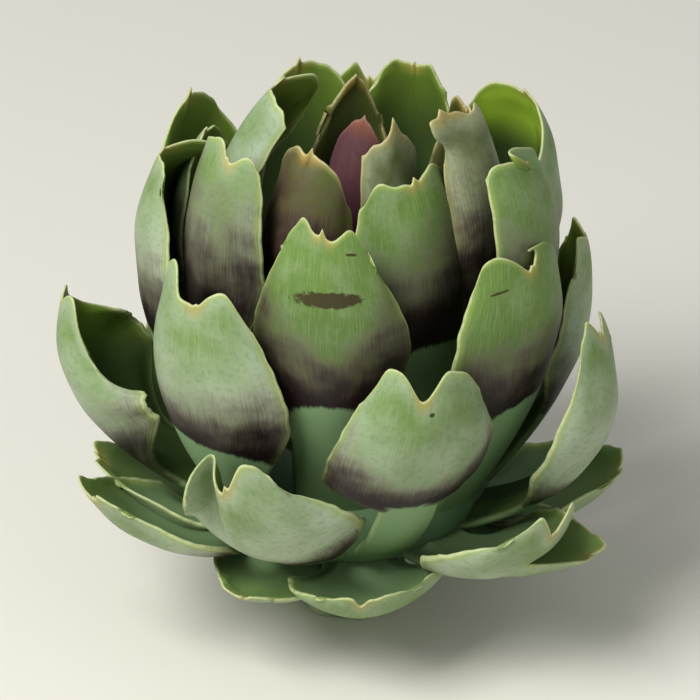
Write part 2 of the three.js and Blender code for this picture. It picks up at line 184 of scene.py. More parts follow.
# Known fault: this inset was meant for the cut face. It falls on one small facet of the stalk's rounded
# edge, which it overshoots, and not on the same facet in every run. Two of the four corners that it
# makes stand 0.13 mm below the cut.
bm.faces.ensure_lookup_table()
bmesh.ops.inset_region(bm, faces=[bm.faces[0]], thickness=INSET_WIDTH)
furrow_layer = bm.verts.layers.float.new("furrow")
for vert in bm.verts:
    turn = atan2(vert.co.y, vert.co.x)
    furrow = 0.5 + 0.5 * cos(STEM_RIBS * turn)
    rib = 1 - 2 * STEM_RIB_DEPTH / STEM_RADIUS * furrow
    vert.co.x *= rib
    vert.co.y *= rib
    vert[furrow_layer] = furrow ** 3
bmesh.ops.recalc_face_normals(bm, faces=bm.faces[:])
for face in bm.faces:
    face.material_index = 1 if face.calc_center_median().z < ON_THE_CUT else 0
stem_mesh = bpy.data.meshes.new("stem_stub")
bm.to_mesh(stem_mesh)
bm.free()
finish_piece("stem_stub", stem_mesh, [stem_skin(), stem_pith()], "stem")

# ---------------------------------------------------------------------------------------------
# The receptacle. The fleshy base of the head, a broad disc grown in one with the stalk. The roots
# of the bracts sit so close on it that only its bluish green underside shows, round the stem.

HEAD_FOOT = 20.3              # height of the head's foot above the cut, in mm, as are those below
LEAN = 3.5                    # how far the head leans to its right at LEAN_HEIGHT above its foot
LEAN_HEIGHT = 100
HEART_FOOT = 30
# Half section: radius, height above the head's foot.
RECEPTACLE = [
    (0, 0), (13, 0), (18, 0.3), (23, 1.5), (27, 4), (29, 6), (30.5, 9), (31, 12),
    (30.8, 16), (30, 19), (27.5, 23), (24, 26), (19, 28.5), (14, HEART_FOOT), (0, HEART_FOOT),
]
RECEPTACLE_SIDES = 96
SAME_VERTEX = 0.01 * MM


def turned_core(name, half_section, foot, steps):
    """A round solid turned about the head's axis, which leans with the head."""
    bm = bmesh.new()
    verts = [bm.verts.new((radius * MM, 0, (height + foot) * MM)) for radius, height in half_section]
    edges = [bm.edges.new(pair) for pair in zip(verts, verts[1:])]
    bmesh.ops.spin(
        bm, geom=verts + edges, cent=(0, 0, 0), axis=(0, 0, 1), angle=tau, steps=steps, use_merge=True)
    bmesh.ops.remove_doubles(bm, verts=bm.verts[:], dist=SAME_VERTEX)
    bmesh.ops.recalc_face_normals(bm, faces=bm.faces[:])
    for vert in bm.verts:
        vert.co.x += LEAN * MM * (vert.co.z / (LEAN_HEIGHT * MM)) ** 2
        vert.co.z += HEAD_FOOT * MM
    mesh = bpy.data.meshes.new(name)
    bm.to_mesh(mesh)
    bm.free()
    return mesh


def receptacle_flesh():
    """Smooth bluish green flesh with a thin wax bloom, paler in soft patches about 8 mm across."""
    material = bpy.data.materials.new("waxy_receptacle_flesh")
    material.use_nodes = True
    tree = material.node_tree
    place = add_node(tree, "ShaderNodeTexCoord").outputs["Object"]
    patches = add_node(tree, "ShaderNodeTexNoise", {"Vector": place, "Scale": 125, "Detail": 3})
    flesh = add_node(tree, "ShaderNodeMix", {
        0: patches.outputs["Fac"], MIX_BELOW: linear("#4F6F4C"), MIX_ABOVE: linear("#7C9A72")},
        data_type="RGBA")
    shader = tree.nodes["Principled BSDF"]
    tree.links.new(flesh.outputs[MIX_OUT], shader.inputs["Base Color"])
    shader.inputs["Roughness"].default_value = 0.5
    return material


receptacle_mesh = turned_core("receptacle", RECEPTACLE, 0, RECEPTACLE_SIDES)
finish_piece("receptacle", receptacle_mesh, [receptacle_flesh()], "green_bracts")

# ---------------------------------------------------------------------------------------------
# The green bracts. Thick, leathery, boat-shaped leaves that grow from the receptacle one by one,
# each a golden angle round from the last. A narrow fleshy neck carries a broad blade, which thins
# to a hard pale rim and has a notch at its top with a small dried spine in it.

GOLDEN_ANGLE = -137.5077
FRONT_BRACT = 26
FRONT_ANGLE = -6
GREEN_BRACTS = 37
ALL_BRACTS = 45

# The form of a bract by its number, from the foot of the head up, with the stages between found by
# mixing. root, belly and tip steer the midrib: radius and height above the head's foot, in mm.
# width is in mm, cup is the half angle in radians that the blade wraps round its midrib, and blade
# is the share of its length where the neck has widened to the full blade.
STAGES = [
    dict(number=0, root=(12, 4), belly=(36, -7), tip=(50, 2), width=32, cup=0.75, blade=0.42),
    dict(number=5, root=(15, 4), belly=(42, -6), tip=(57, 7), width=36, cup=0.8, blade=0.42),
    dict(number=10, root=(20, 3), belly=(58, 0), tip=(66, 29), width=37, cup=0.85, blade=0.42),
    dict(number=13, root=(22, 3), belly=(60, 5), tip=(58, 42), width=38, cup=0.9, blade=0.42),
    dict(number=16, root=(25, 3), belly=(72, 15), tip=(62, 62), width=40, cup=0.95, blade=0.5),
    dict(number=18, root=(26, 4), belly=(67, 36), tip=(50, 66), width=42, cup=0.95, blade=0.62),
    dict(number=21, root=(27, 7), belly=(62, 45), tip=(48, 82), width=43, cup=0.95, blade=0.53),
    dict(number=24, root=(28, 10), belly=(57, 63), tip=(43, 91), width=42, cup=0.95, blade=0.6),
    dict(number=27, root=(26, 13), belly=(52, 68), tip=(36, 96), width=39, cup=0.95, blade=0.6),
    dict(number=31, root=(23, 18), belly=(40, 70), tip=(28, 100), width=34, cup=1, blade=0.6),
    dict(number=36, root=(19, 23), belly=(32, 72), tip=(20, 103), width=29, cup=1.05, blade=0.6),
    dict(number=37, root=(9, 33), belly=(23, 60), tip=(9, 89), width=27, cup=1.2, blade=0.5),
    dict(number=44, root=(4, 38), belly=(8, 64), tip=(1, 86), width=13, cup=1.3, blade=0.5),
]
# What a bract has where OWN_FORMS says nothing else. turn is in degrees about the head's axis and
# sweep carries the tip sideways, in mm. left and right widen one side of the blade alone, cup wraps
# it further round, neck is the share of the width that the neck keeps, and waist is where it ends, as
# a share of the way up to where the blade is full. notch and shoulder are how far the middle and the
# corners of the top edge are cut back, as shares of the length; top is the share of the width that is
# left at the tip, kept up for longer where full is larger. crown is a top edge of its own: places
# across the blade, from -1 to 1, each with its cut below the tip in mm. spine is the dried spine's
# place across and its length. hook pulls the lobe at a place across to the left, by its mm. folds are
# places across, with how wide each one is, how many mm it goes in, and the share of the length where
# it starts.
COMMON_FORM = {
    "turn": 0, "sweep": 0, "wide": 1, "left": 1, "right": 1, "cup": 1, "neck": 0.45, "waist": 0.4,
    "notch": 0.08, "shoulder": 0.14, "top": 0.55, "full": 1.35, "hook": (0, 0), "folds": [],
}
OWN_FORMS = {
    0: {"turn": 1, "left": 0.95, "right": 0.75, "notch": 0.06, "belly": (0, -1), "tip": (-2, 3)},
    2: {"turn": 6, "left": 1.15, "belly": (1, -1), "tip": (10, 5)},
    3: {"notch": 0.05, "tip": (3, 15)},
    5: {
        "turn": 2, "left": 0.95, "right": 1.25, "top": 0.6, "belly": (1, -4), "tip": (-6, 3),
        "spine": (-0.08, 0),
        "crown": [
            (-1, 8), (-0.75, 4), (-0.45, 1), (-0.2, 1), (-0.08, 5.5), (0.02, 1), (0.4, 0), (0.75, 3),
            (1, 9)]},
    8: {"turn": -10, "tip": (3, 6)},
    10: {
        "turn": 9, "left": 1.15, "tip": (-1, 0), "spine": (0, 1),
        "crown": [
            (-1, 12), (-0.6, 2), (-0.42, -1), (-0.2, 4), (0, 8), (0.2, 3), (0.4, -1), (0.6, 2),
            (1, 12)]},
    11: {"turn": -22, "belly": (-4, 0), "tip": (-5, -2)},
    12: {"turn": 14},
    13: {
        "turn": -6, "sweep": -5, "wide": 1.1, "left": 0.68, "right": 1.22, "belly": (-3, 6),
        "spine": (0.06, 1.6), "folds": [(-0.55, 0.2, 6, 0.45), (-1, 0.3, -5, 0.6)],
        "crown": [
            (-1, 9), (-0.8, 2.5), (-0.62, 1), (-0.45, 1.5), (-0.2, 5.5), (0.05, 6.5), (0.22, 2),
            (0.4, -2), (0.6, -1), (0.8, 3), (1, 8)]},
    15: {"wide": 0.85, "belly": (7, 12), "tip": (-6, 8)},
    16: {
        "turn": -21, "wide": 1.08, "left": 1.15, "right": 1.35, "cup": 1.12, "top": 0.75,
        "belly": (0, 10), "tip": (1, -5), "spine": (-0.02, 1),
        "crown": [
            (-1, 21), (-0.7, 14), (-0.45, 9), (-0.28, 6), (-0.15, 0.5), (0, 6), (0.14, 2),
            (0.28, -1.5), (0.42, 0), (0.52, 5), (0.66, 13), (0.84, 24), (1, 32)]},
    17: {"turn": 26, "belly": (-3, 14), "tip": (0, 20)},
    18: {
        "turn": -1, "sweep": 3, "left": 0.95, "right": 1.15, "blade": 0.48, "neck": 0.28, "waist": 0.9,
        "top": 0.68, "spine": (0, 0),
        "crown": [
            (-1, 10), (-0.75, 4.2), (-0.6, 0.3), (-0.4, 0.5), (0, 10.5), (0.3, 2.8), (0.5, 2.6),
            (0.72, 4.6), (1, 10)]},
    19: {
        "turn": -11, "belly": (-2, 8), "tip": (3, 14), "spine": (0.1, 3),
        "crown": [(-1, 12), (-0.6, 4), (-0.2, 0), (0.1, 0), (0.4, 3), (0.7, 8), (1, 16)]},
    20: {"turn": -7, "wide": 0.85, "belly": (-3, 0), "tip": (-1, -4)},
    21: {
        "turn": -4, "sweep": -3, "left": 1.12, "right": 1.04, "top": 0.64, "spine": (0.12, 0.6),
        "crown": [
            (-1, 11), (-0.75, 4), (-0.5, 2), (-0.38, 3.2), (-0.27, 9.5), (0, 9.8), (0.12, 10.2),
            (0.32, 7), (0.5, 4), (0.75, 8), (1, 14)]},
    22: {
        "turn": 12, "belly": (-5, 4), "tip": (0, 5), "spine": (0.12, 2.4),
        "crown": [(-1, 11), (-0.75, 6), (-0.5, 3), (-0.2, 1.5), (0.12, 1), (0.4, 3), (0.75, 7), (1, 14)]},
    23: {
        "turn": 10, "sweep": -3, "wide": 1.05, "left": 1.04, "right": 1.1, "top": 0.65, "tip": (0, -3),
        "hook": (0.3, 11), "spine": (-0.16, 1.2),
        "crown": [
            (-1, 7), (-0.88, 1), (-0.72, 0.4), (-0.55, 2), (-0.4, 5), (-0.28, 8.5), (-0.18, 10),
            (-0.08, 8.5), (0.02, 5), (0.12, 3.2), (0.3, 3), (0.6, 6), (0.8, 9), (1, 14)]},
    24: {
        "turn": -4, "belly": (1, 0), "spine": (0, 1.5), "folds": [(-0.6, 0.35, 10, 0.7)],
        "crown": [
            (-1, 8), (-0.8, -1), (-0.6, -5), (-0.4, -4), (-0.2, 0), (0, 3.5), (0.2, 3), (0.4, 2.5),
            (0.6, 2), (0.85, 3.5), (1, 10)]},
    25: {
        "turn": -6, "wide": 0.97, "left": 1.25, "cup": 1.12, "top": 0.75, "belly": (8, 0),
        "tip": (2, 0), "spine": (0, 2.5),
        "crown": [
            (-1, 14), (-0.6, 6), (-0.3, 3), (0, 2.5), (0.12, 2), (0.4, -1), (0.65, -1), (0.85, 1.5),
            (1, 6)]},
    26: {
        "sweep": -4, "right": 0.94, "top": 0.57, "spine": (-0.08, 2.2),
        "crown": [
            (-1, 12), (-0.75, 4), (-0.42, -1.3), (-0.24, 4), (-0.1, 4.4), (0.12, 6.4), (0.3, 3.5),
            (0.45, 2.2), (0.62, 4), (0.8, 8), (1, 16)]},
    27: {
        "turn": 24, "belly": (0, -6), "tip": (3, -10), "spine": (0.1, 1.6),
        "crown": [(-1, 14), (-0.6, 4), (-0.3, 0.5), (0, 1), (0.3, -3), (0.5, -4), (0.7, -1), (1, 8)]},
    28: {
        "turn": -14, "sweep": -4, "wide": 1.08, "left": 0.8, "top": 0.7, "belly": (8, 0),
        "tip": (5, 3), "hook": (0.35, 8), "spine": (0, 0),
        "crown": [
            (-1, -1), (-0.88, -4), (-0.5, -2.5), (-0.2, 0), (0, 1.5), (0.15, -1), (0.3, -4.5),
            (0.45, -4.5), (0.7, 1), (1, 12)]},
    29: {
        "turn": -5, "sweep": -3, "wide": 1.04, "top": 0.66, "belly": (1, 0), "tip": (2, 2),
        "spine": (0.42, 1),
        "crown": [
            (-1, 12), (-0.6, 3), (-0.2, 0.5), (0.04, -1.2), (0.28, -0.8), (0.36, 2.5), (0.44, 4),
            (0.54, 3), (0.68, 0), (0.82, -1), (0.94, 1), (1, 4)]},
    30: {"turn": -4, "notch": 0.05},
    31: {
        "turn": 3, "sweep": -6, "wide": 1.12, "left": 0.93, "right": 1.32, "top": 0.64,
        "spine": (0.08, 2),
        "crown": [
            (-1, 9), (-0.75, 3.5), (-0.55, 0.8), (-0.4, 2.8), (-0.1, 3.4), (0.1, 3.6), (0.3, 1.2),
            (0.5, -0.6), (0.75, 2.5), (1, 11)]},
    32: {
        "turn": 10, "sweep": -7, "right": 0.88, "cup": 1.2, "top": 0.85, "belly": (8, 0),
        "tip": (-5, 2), "spine": (-0.1, 2), "folds": [(-0.6, 0.4, 5, 0.7)],
        "crown": [
            (-1, 8), (-0.75, 0), (-0.5, -4), (-0.3, -2), (-0.1, 1.5), (0.05, 2.5), (0.3, 1.5),
            (0.6, 1), (0.85, 1), (1, 3)]},
    33: {"turn": 7, "wide": 0.85, "tip": (-1, -3)},
    34: {
        "turn": -5, "wide": 0.9, "left": 1.2, "top": 0.8, "spine": (0.02, 1.8),
        "crown": [
            (-1, 15), (-0.75, 6.5), (-0.5, 2.2), (-0.25, 0.2), (-0.05, 2), (0.1, 1.4), (0.3, 2.5),
            (0.5, 4), (0.75, 8), (1, 16)]},
    35: {
        "turn": -10, "wide": 0.9, "tip": (-2, -3.5), "spine": (0, 1),
        "crown": [(-1, 17), (-0.6, 8.5), (-0.25, 2.5), (0, 0), (0.2, 2.5), (0.5, 8), (1, 20)]},
    36: {
        "turn": 10, "sweep": -5, "wide": 1.25, "left": 0.82, "cup": 1.1, "top": 0.75, "belly": (13, 0),
        "tip": (4.5, 6), "hook": (-0.7, 5), "spine": (-0.5, 2),
        "crown": [
            (-1, 11), (-0.9, 5), (-0.75, -2.5), (-0.6, -3.5), (-0.4, -1.5), (-0.2, 1.5), (0, 2),
            (0.2, 1), (0.4, 3), (0.7, 7), (1, 16)]},
    39: {
        "turn": 42, "sweep": 1.5, "wide": 1.3, "left": 0.75, "top": 0.8, "full": 2, "tip": (2.5, 10),
        "spine": (-0.25, 1),
        "crown": [
            (-1, 3), (-0.8, 1.5), (-0.55, 1), (-0.4, 0), (-0.25, -2.5), (-0.1, -0.5), (0.1, 1.5),
            (0.4, 5), (0.7, 9), (1, 15)]},
    42: {
        "turn": 14, "wide": 1.7, "top": 0.8, "full": 2, "tip": (0, 13), "spine": (0.1, 1),
        "crown": [(-1, 16), (-0.5, 6), (-0.15, 1), (0.1, 0), (0.3, 1), (0.6, 6), (1, 18)]},
}

# The blade's build. Thicknesses are in mm.
FALL_START = 0.6
BLADE_THICKNESS = 1
EDGE_THICKNESS = 0.5
ROOT_THICKNESS = 5
HEART_ROOT_THICKNESS = 1.5
FLESH_FADE = 1.5
TOP_EDGE_FADE = 1.5
TIP_CURL = 0.25
CURL_START = 0.6
# The blade thins over the outermost EDGE_SHARE of its half width, and its edge keeps EDGE_FLESH of
# the flesh. A point past ON_EDGE is on the edge itself. Facings are found over steps of FACING_STEP.
EDGE_SHARE = 0.4
EDGE_FLESH = 0.3
ON_EDGE = 0.9999
FACING_STEP = 0.004
# The top edge of a bract without a crown of its own: a cut corner, a shoulder and a lobe on each
# side, and the notch. Where the lobes and the notch stand, and how low the lobes are, is drawn by
# chance.
SHOULDER_PLACE = 0.75
SHOULDER_SHARE = 0.45
LOBE_PLACES = (0.3, 0.55)
LOBE_CUTS = (0, 1.5)
NOTCH_DRIFT = 0.08
# The top edge is rounded over this much of the width, and its dried spine is this wide at its foot.
EDGE_ROUNDING = 0.07
EDGE_SAMPLES = 5
SPINE_WIDTH = 0.06
COMMON_SPINE = 1.6
# The top edge is nibbled by this many mm all along, and the sides by this share of the width.
# The ripples of each come at these rates, in radians over half the width and over the length.
NIBBLE = 0.14
SIDE_NIBBLE = 0.004
TOP_RIPPLES = (13, 21)
SIDE_RIPPLES = (37, 61)
HOOK_HEIGHT = 9
HOOK_WIDTH = 0.45
# The blade is never quite even: it swells and dips by WAVE mm, over about WAVE_LENGTH mm, and from
# WAVE_START to WAVE_FULL of its length the swells grow. Each swell: height, and rates across, aslant
# and along.
WAVE = 0.35
WAVE_LENGTH = 14
WAVE_START = 0.3
WAVE_FULL = 0.6
SWELLS = [(1, 2.6, 1.1, 2.1), (0.5, 5, 0, 4)]
# A fold grows to its full depth over this share of the blade's length.
FOLD_RISE = 0.35


def mix(low, high, share):
    """The number that lies at a share of the way from low to high."""
    return low + (high - low) * share


def smooth_step(value, low, high):
    """0 below low, 1 above high, and an S-shaped rise between them."""
    share = np.clip((value - low) / (high - low), 0, 1)
    return share * share * (3 - 2 * share)


def bract_form(number):
    """The numbers of one bract: its stage on the spiral, with its own form laid over it."""
    upper = next(i for i, stage in enumerate(STAGES) if stage["number"] >= number)
    before, after = STAGES[max(upper - 1, 0)], STAGES[upper]
    share = (number - before["number"]) / max(after["number"] - before["number"], 1)
    own = OWN_FORMS.get(number, {})
    form = {"number": number, **COMMON_FORM, **own}
    for name in ("root", "belly", "tip"):
        stage = mix(np.array(before[name], float), np.array(after[name], float), share)
        form[name] = stage + own.get(name, (0, 0))
    form["width"] = mix(before["width"], after["width"], share) * form["wide"]
    form["cup"] *= mix(before["cup"], after["cup"], share)
    form["blade"] = own.get("blade", mix(before["blade"], after["blade"], share))
    form["angle"] = radians(FRONT_ANGLE + GOLDEN_ANGLE * (number - FRONT_BRACT) + form["turn"])
    form["flesh"] = ROOT_THICKNESS if number < GREEN_BRACTS else HEART_ROOT_THICKNESS
    steps = np.diff([form["root"], form["belly"], form["tip"], form["root"]], axis=0)
    form["length"] = np.linalg.norm(steps, axis=1).sum() / 2
    # Phases of the blade's swells, and of the ripples of its edges.
    chance = random.Random(number)
    form["phases"] = [chance.uniform(0, tau) for _ in range(4)]
    if "crown" not in form:
        corner = form["shoulder"] * form["length"]
        middle = form["notch"] * form["length"]
        shoulder = SHOULDER_SHARE * corner
        nearest, furthest = LOBE_PLACES
        form["crown"] = [
            (-1, corner), (-SHOULDER_PLACE, shoulder),
            (chance.uniform(-furthest, -nearest), chance.uniform(*LOBE_CUTS)),
            (chance.uniform(-NOTCH_DRIFT, NOTCH_DRIFT), middle),
            (chance.uniform(nearest, furthest), chance.uniform(*LOBE_CUTS)),
            (SHOULDER_PLACE, shoulder), (1, corner)]
        form["spine"] = (form["crown"][3][0], COMMON_SPINE)
    return form


def half_width(form, along):
    """Half the bract's width, in mm, at a share of its length."""
    neck = mix(form["neck"], 1, smooth_step(along, form["waist"] * form["blade"], form["blade"]))
    fall = np.maximum((along - FALL_START) / (1 - FALL_START), 0) ** form["full"]
    ripples = zip(SIDE_RIPPLES, form["phases"][2:])
    nibbled = 1 + SIDE_NIBBLE * sum(np.sin(rate * along + phase) for rate, phase in ripples)
    return 0.5 * form["width"] * neck * (1 - (1 - form["top"]) * fall) * nibbled


def crown_cut(form, across):
    """How far below the tip the top edge stands, in mm, at a place across the blade."""
    places, cuts = zip(*form["crown"])
    spread = np.linspace(-EDGE_ROUNDING, EDGE_ROUNDING, EDGE_SAMPLES)
    cut = sum(np.interp(across + shift, places, cuts) for shift in spread) / len(spread)
    ripples = zip(TOP_RIPPLES, form["phases"][:2])
    cut += NIBBLE * sum(np.sin(rate * across + phase) for rate, phase in ripples)
    spine_at, spine_length = form["spine"]
    return cut - spine_length * np.maximum(1 - abs(across - spine_at) / SPINE_WIDTH, 0)


def midrib_share(form, across, along):
    """How far up the midrib a point of the blade stands, once its top edge is cut to its crown."""
    fade = np.maximum(along, 0) ** TOP_EDGE_FADE
    return along * (1 - crown_cut(form, across) / form["length"] * fade)


def bract_surface(form, across, along):
    """Points of the outer face, in mm: across runs from -1 to 1, along from 0 to 1."""
    share = midrib_share(form, across, along)
    root, belly, tip = form["root"], form["belly"], form["tip"]
    at = share[:, None]
    rib = root * (1 - at) ** 2 + belly * 2 * at * (1 - at) + tip * at ** 2
    tangent = (belly - root) * (1 - at) + (tip - belly) * at
    tangent /= np.linalg.norm(tangent, axis=1)[:, None]
    radius = 0.5 * form["width"] / form["cup"]
    curl = 1 + TIP_CURL * smooth_step(along, CURL_START, 1)
    own_side = np.where(across < 0, form["left"], form["right"])
    wrap = across * own_side * half_width(form, along) / radius * curl
    side = radius * np.sin(wrap) / curl + form["sweep"] * share ** 2
    hook_at, pull = form["hook"]
    hooked = smooth_step(share * form["length"], form["length"] - HOOK_HEIGHT, form["length"])
    side -= pull * hooked ** 2 * smooth_step(HOOK_WIDTH - abs(across - hook_at), 0, HOOK_WIDTH)
    x, y = across * form["width"] / 2 / WAVE_LENGTH, share * form["length"] / WAVE_LENGTH
    phases = form["phases"]
    wave = 0
    for (height, rate, slant, rise), one, two in zip(SWELLS, phases[::2], phases[1::2]):
        wave += height * np.sin(rate * x + slant * y + one) * np.sin(rise * y + two)
    depth = radius * (1 - np.cos(wrap)) + WAVE * wave * smooth_step(along, WAVE_START, WAVE_FULL)
    for place, spread, deep, start in form["folds"]:
        risen = smooth_step(along, start, start + FOLD_RISE)
        depth += deep * np.exp(-((across - place) / spread) ** 2) * risen
    out = rib[:, 0] - depth * tangent[:, 1]
    up = rib[:, 1] + depth * tangent[:, 0]
    turned, faced = sin(form["angle"]), cos(form["angle"])
    return np.stack([
        turned * out + faced * side + LEAN * (up / LEAN_HEIGHT) ** 2,
        -faced * out + turned * side,
        up + HEAD_FOOT], axis=1)


def bract_points(form, across, along, depth):
    """Points of the bract, in mm: depth runs from 0 on the outer face to 1 on the inner face."""
    share = midrib_share(form, across, along)
    blade = BLADE_THICKNESS + form["flesh"] * np.maximum(1 - share, 0) ** FLESH_FADE
    side_gap = (1 - abs(across)) * half_width(form, along)
    top_gap = (1 - along) * form["length"]
    edge = smooth_step(np.minimum(side_gap, top_gap), 0, EDGE_SHARE * half_width(form, along))
    thickness = mix(EDGE_THICKNESS + EDGE_FLESH * (blade - BLADE_THICKNESS), blade, edge)
    # The edge's own faces stand out from it in a half round.
    round_out = thickness * np.sqrt(depth * (1 - depth))
    side_round = np.sign(across) * round_out / half_width(form, along)
    across = across + np.where(abs(across) > ON_EDGE, side_round, 0)
    along = along + np.where(along > ON_EDGE, round_out / form["length"], 0)
    step = FACING_STEP
    right = bract_surface(form, across + step, along) - bract_surface(form, across - step, along)
    up = bract_surface(form, across, along + step) - bract_surface(form, across, along - step)
    inward = np.cross(up, right)
    inward /= np.linalg.norm(inward, axis=1)[:, None]
    return bract_surface(form, across, along) + inward * (thickness * depth)[:, None]


# How a bract is coloured where OWN_LOOKS says nothing else. foot is where the blade's purple foot
# ends, as a share of the way up to where the blade is full, and drop is how many mm lower that is at
# the sides. reach is how many mm the purple flush runs up from there; the flush is partly the bract's
# own purple and partly painted shade where the bracts in front darken the lower blade. flushed makes it
# run further all over, climb makes it run further towards both sides, and blush towards the right-hand
# side alone, or the left where it is below 0. bloom is how thick the wax lies, and glow is how much
# painted light, standing for light that comes through the top of the blade, is laid on the inner face.
COMMON_LOOK = {"foot": 0.72, "drop": 6, "flushed": 1, "climb": 0.6, "blush": 0, "glow": 0.3}
OWN_LOOKS = {
    5: {"bloom": 0.6},
    8: {"flushed": 1.8},
    13: {"bloom": 1.1, "blush": 0.5},
    16: {"flushed": 2.4, "foot": 0.5, "climb": 1},
    18: {"drop": 2, "blush": -0.6, "climb": 2.2, "bloom": 0.7, "foot": 0.92, "flushed": 1.05},
    21: {"foot": 0.8, "blush": 0.3, "bloom": 0.8, "flushed": 1.15},
    23: {"blush": 0.3, "flushed": 1.4, "bloom": 0},
    24: {"flushed": 1.2, "bloom": 0.8},
    # Bract 25 carries the most painted light coming through to its inner face.
    25: {"glow": 1.8},
    26: {"foot": 0.67, "flushed": 0.85, "climb": 2, "bloom": 0.05},
    28: {"flushed": 1.3, "bloom": 0.2},
    29: {"blush": -0.3, "flushed": 1.65, "bloom": 0.6},
    31: {"blush": 0.5, "flushed": 1.1, "bloom": 0.2},
    32: {"blush": 0.3, "flushed": 0.7, "bloom": 1},
    34: {"blush": -0.5, "flushed": 1.6, "bloom": 0},
    36: {"flushed": 0.9, "bloom": 1},
    39: {"flushed": 0.9, "bloom": 0.9, "blush": 0.9},
}
# The bloom is thickest on the oldest bracts, and their inner faces are paler, partly by their own paler
# tissue and partly by painted bounce light in their shaded hollows. They are flushed over a narrow band
# alone, and the young inner ones nearly to the top.
BLOOM = [(0, 1), (20, 0.85), (28, 0.4), (44, 0.2)]
PALE_AND_BOUNCE_LIT_INSIDE = [(5, 1), (16, 0)]
# How many mm the flush reaches, by bract number: partly their own purple, partly painted shade at the foot
# of the blade.
FLUSH_AND_SHADE_REACH = [(0, 9), (18, 12), (36, 51.6), (37, 40), (44, 40)]


def bract_look(number):
    """How one bract is coloured: what its age gives it, with its own look laid over that."""
    look = {
        "bloom": float(np.interp(number, *zip(*BLOOM))),
        "pale": float(np.interp(number, *zip(*PALE_AND_BOUNCE_LIT_INSIDE))),
        "reach": float(np.interp(number, *zip(*FLUSH_AND_SHADE_REACH))),
        **COMMON_LOOK, **OWN_LOOKS.get(number, {})}
    look["reach"] *= look["flushed"]
    return look


GREEN_GRID = (52, 60)         # columns and rows
RIM_STEPS = 3
NOTCH_CROWDING = 0.35         # how much closer together the columns stand round the notch
MM_PER_CM = 10
MAP_STRETCH = 10              # how many centimetres of the map each bract has to itself


def bract_mesh(name, form, look, grid):
    """One bract: a flat sheet is thickened, its edge is divided and rounded, and it is then bent."""
    columns, rows = grid
    bm = bmesh.new()
    bmesh.ops.create_grid(bm, x_segments=columns, y_segments=rows, size=1)
    lifted = bmesh.ops.extrude_face_region(bm, geom=bm.faces[:], use_keep_orig=True)["geom"]
    for part in lifted:
        if isinstance(part, bmesh.types.BMVert):
            part.co.z = 1
    walls = [e for e in bm.edges if abs(e.verts[0].co.z - e.verts[1].co.z) > 0.5]
    bmesh.ops.subdivide_edges(bm, edges=walls, cuts=RIM_STEPS, use_grid_fill=True)
    # The columns stand closer together round the notch, where the edge turns most sharply.
    flat = np.array([vert.co for vert in bm.verts])
    across = mix(flat[:, 0], flat[:, 0] ** 3, NOTCH_CROWDING)
    across += form["spine"][0] * (1 - across ** 2)
    along = 0.5 + 0.5 * flat[:, 1]
    depth = flat[:, 2]
    share = midrib_share(form, across, along)
    top_gap = form["length"] * (midrib_share(form, across, np.ones_like(along)) - share)
    side_gap = (1 - abs(across)) * half_width(form, along)
    foot_gap = share * form["length"] - look["foot"] * form["blade"] * form["length"]
    foot_gap += look["drop"] * across ** 2
    climb = 1 + look["climb"] * across ** 2 + look["blush"] * across
    marks = {
        "inner": depth,
        "edge_mm": np.minimum(top_gap, side_gap),
        "tip_mm": top_gap,
        "foot_mm": foot_gap,
        "flush": 1 - foot_gap / (look["reach"] * climb),
        **{key: np.full_like(share, look[key]) for key in ("bloom", "pale", "glow")},
        "spine_mm": np.hypot((across - form["spine"][0]) * half_width(form, along), top_gap),
    }
    places = bract_points(form, across, along, depth) * MM
    layers = {key: bm.verts.layers.float.new(key) for key in marks}
    bm.verts.index_update()
    for index, vert in enumerate(bm.verts):
        vert.co = places[index]
        for key, values in marks.items():
            vert[layers[key]] = values[index]
    # The map is in centimetres, and each bract has a stretch of it to itself.
    map_across = across * form["width"] / 2 / MM_PER_CM + MAP_STRETCH * form["number"]
    map_up = share * form["length"] / MM_PER_CM
    leaf = bm.loops.layers.uv.new("leaf")
    for face in bm.faces:
        for loop in face.loops:
            at = loop.vert.index
            loop[leaf].uv = (map_across[at], map_up[at])
    bmesh.ops.recalc_face_normals(bm, faces=bm.faces[:])
    mesh = bpy.data.meshes.new(name)
    bm.to_mesh(mesh)
    bm.free()
    return mesh


# Sizes of the skin's patterns, in mm: its fibres, the clouds of bloom on it, and a fine mottle.
FIBRE_WIDTH = 0.4
FIBRE_LENGTH = 10
CLOUD_SIZE = 8
MOTTLE_SIZE = 10 / 7
# The clouds and the fibres raise the flush by these shares of its own reach, less CLOUD_DROP, which
# keeps it level on the whole. Its foot moves by the same shares of FOOT_SHIFT mm. SCAR_RAGGEDNESS is
# how strongly the mottle moves a scar's edge in and out.
CLOUD_SHIFT = 0.6
CLOUD_DROP = 0.45
FIBRE_SHIFT = 0.3
FOOT_SHIFT = 5
SCAR_RAGGEDNESS = 0.8


